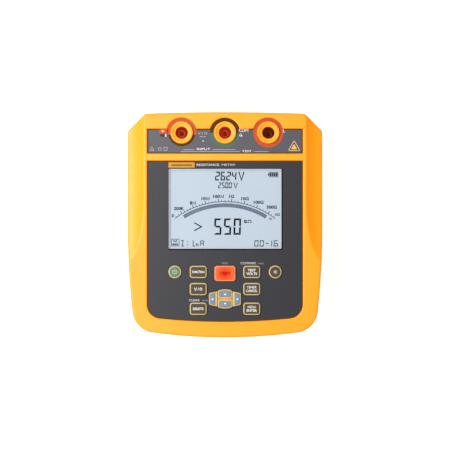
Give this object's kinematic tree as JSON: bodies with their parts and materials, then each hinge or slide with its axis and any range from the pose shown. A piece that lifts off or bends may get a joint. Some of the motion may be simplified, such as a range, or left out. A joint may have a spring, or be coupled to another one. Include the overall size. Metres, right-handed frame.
{
  "type": "insulation resistance tester",
  "caption": "Portable insulation resistance tester: a yellow moulded case with a large display, rubber keys, a tilted deck of shrouded jacks, a tilt stand and a battery door.",
  "frame": {"origin": "under the middle of the case, on the plane that the rubber feet stand on", "axes": "+Z out of the face, +Y towards the end with the jacks, +X to the right as the face is read; it lies on its back"},
  "size_m": [0.181, 0.2096, 0.0708],
  "materials": {
    "case_yellow": "satin moulded, fine texture",
    "overlay_dark": "printed polycarbonate film, fine texture",
    "overlay_grey": "printed polycarbonate film, fine texture",
    "lens": "clear polycarbonate",
    "lcd_panel": "pale blue-grey display glass",
    "lcd_light": "white light guide",
    "dark_frame": "moulded",
    "board": "solder mask",
    "chip": "moulded epoxy",
    "grey_rubber": "silicone",
    "seal_rubber": "moulded",
    "key_rubber": "silicone, satin",
    "key_test_rubber": "silicone, satin",
    "jack_yellow": "moulded",
    "jack_red": "moulded",
    "brass": "turned",
    "steel": "zinc plated",
    "spring_steel": "polished",
    "ferrite": "sintered",
    "coil_tape": "polyester tape",
    "relay_case": "moulded",
    "capacitor_sleeve": "shrink sleeve",
    "cell_jacket": "printed foil"
  },
  "bodies": {
    "case": {"battery_cells": "cell_jacket", "battery_contacts": "spring_steel", "battery_tray": "dark_frame", "board_connector": "chip", "board_screws": "steel", "buzzer": "chip", "capacitors": "capacitor_sleeve", "case_gasket": "seal_rubber", "case_screws": "steel", "display_window": "lens", "front_case": "case_yellow", "jack_collar_left": "jack_yellow", "jack_collar_middle": "jack_yellow", "jack_collar_right": "jack_yellow", "jack_contact_left": "brass", "jack_contact_middle": "brass", "jack_contact_right": "brass", "jack_nuts": "brass", "jack_socket_left": "jack_red", "jack_socket_middle": "jack_red", "jack_socket_right": "jack_red", "keypad_mat": "grey_rubber", "lcd_backlight": "lcd_light", "lcd_frame": "dark_frame", "lcd_glass": "lcd_panel", "main_board": "board", "main_chip": "chip", "main_overlay": "overlay_dark", "power_board": "board", "rear_case": "case_yellow", "relays": "relay_case", "rubber_feet": "seal_rubber", "stand_pin": "steel", "switch_domes": "spring_steel", "terminal_overlay": "overlay_grey", "transformer_coil": "coil_tape", "transformer_core": "ferrite"},
    "key_backlight": {"key_backlight": "key_rubber"},
    "key_delete": {"key_delete": "key_rubber"},
    "key_down": {"key_down": "key_rubber"},
    "key_left": {"key_left": "key_rubber"},
    "key_memory": {"key_memory": "key_rubber"},
    "key_mode": {"key_mode": "key_rubber"},
    "key_power": {"key_power": "key_rubber"},
    "key_right": {"key_right": "key_rubber"},
    "key_test": {"key_test": "key_test_rubber"},
    "key_timer": {"key_timer": "key_rubber"},
    "key_units": {"key_units": "key_rubber"},
    "key_up": {"key_up": "key_rubber"},
    "key_volts": {"key_volts": "key_rubber"},
    "tilt_stand": {"tilt_stand": "case_yellow"},
    "battery_door": {"battery_door": "case_yellow", "door_seal": "seal_rubber"},
    "door_screw_left": {"door_screw_left": "steel"},
    "door_screw_right": {"door_screw_right": "steel"}
  },
  "joints": [
    {"name": "key_backlight_press", "type": "slide", "parent": "case", "child": "key_backlight", "axis": [0, 0, -1], "range_m": [0, 0.001], "stiffness_N_per_m": 1000, "springref_m": -0.0004},
    {"name": "key_delete_press", "type": "slide", "parent": "case", "child": "key_delete", "axis": [0, 0, -1], "range_m": [0, 0.001], "stiffness_N_per_m": 1000, "springref_m": -0.0004},
    {"name": "key_down_press", "type": "slide", "parent": "case", "child": "key_down", "axis": [0, 0, -1], "range_m": [0, 0.001], "stiffness_N_per_m": 1000, "springref_m": -0.0004},
    {"name": "key_left_press", "type": "slide", "parent": "case", "child": "key_left", "axis": [0, 0, -1], "range_m": [0, 0.001], "stiffness_N_per_m": 1000, "springref_m": -0.0004},
    {"name": "key_memory_press", "type": "slide", "parent": "case", "child": "key_memory", "axis": [0, 0, -1], "range_m": [0, 0.001], "stiffness_N_per_m": 1000, "springref_m": -0.0004},
    {"name": "key_mode_press", "type": "slide", "parent": "case", "child": "key_mode", "axis": [0, 0, -1], "range_m": [0, 0.001], "stiffness_N_per_m": 1000, "springref_m": -0.0004},
    {"name": "key_power_press", "type": "slide", "parent": "case", "child": "key_power", "axis": [0, 0, -1], "range_m": [0, 0.001], "stiffness_N_per_m": 1000, "springref_m": -0.0004},
    {"name": "key_right_press", "type": "slide", "parent": "case", "child": "key_right", "axis": [0, 0, -1], "range_m": [0, 0.001], "stiffness_N_per_m": 1000, "springref_m": -0.0004},
    {"name": "key_test_press", "type": "slide", "parent": "case", "child": "key_test", "axis": [0, 0, -1], "range_m": [0, 0.001], "stiffness_N_per_m": 1000, "springref_m": -0.0004},
    {"name": "key_timer_press", "type": "slide", "parent": "case", "child": "key_timer", "axis": [0, 0, -1], "range_m": [0, 0.001], "stiffness_N_per_m": 1000, "springref_m": -0.0004},
    {"name": "key_units_press", "type": "slide", "parent": "case", "child": "key_units", "axis": [0, 0, -1], "range_m": [0, 0.001], "stiffness_N_per_m": 1000, "springref_m": -0.0004},
    {"name": "key_up_press", "type": "slide", "parent": "case", "child": "key_up", "axis": [0, 0, -1], "range_m": [0, 0.001], "stiffness_N_per_m": 1000, "springref_m": -0.0004},
    {"name": "key_volts_press", "type": "slide", "parent": "case", "child": "key_volts", "axis": [0, 0, -1], "range_m": [0, 0.001], "stiffness_N_per_m": 1000, "springref_m": -0.0004},
    {"name": "stand_fold", "type": "hinge", "parent": "case", "child": "tilt_stand", "pos_m": [0, 0.054, 0.0052], "axis": [1, 0, 0], "range_deg": [0, 70]},
    {"name": "battery_door_lift", "type": "slide", "parent": "case", "child": "battery_door", "axis": [0, 0, -1], "range_m": [0, 0.03]},
    {"name": "door_screw_left_turn", "type": "hinge", "parent": "battery_door", "child": "door_screw_left", "pos_m": [-0.0608, -0.055, 0.0015], "axis": [0, 0, -1], "range_deg": [0, 90]},
    {"name": "door_screw_right_turn", "type": "hinge", "parent": "battery_door", "child": "door_screw_right", "pos_m": [0.0608, -0.055, 0.0015], "axis": [0, 0, -1], "range_deg": [0, 90]}
  ]
}
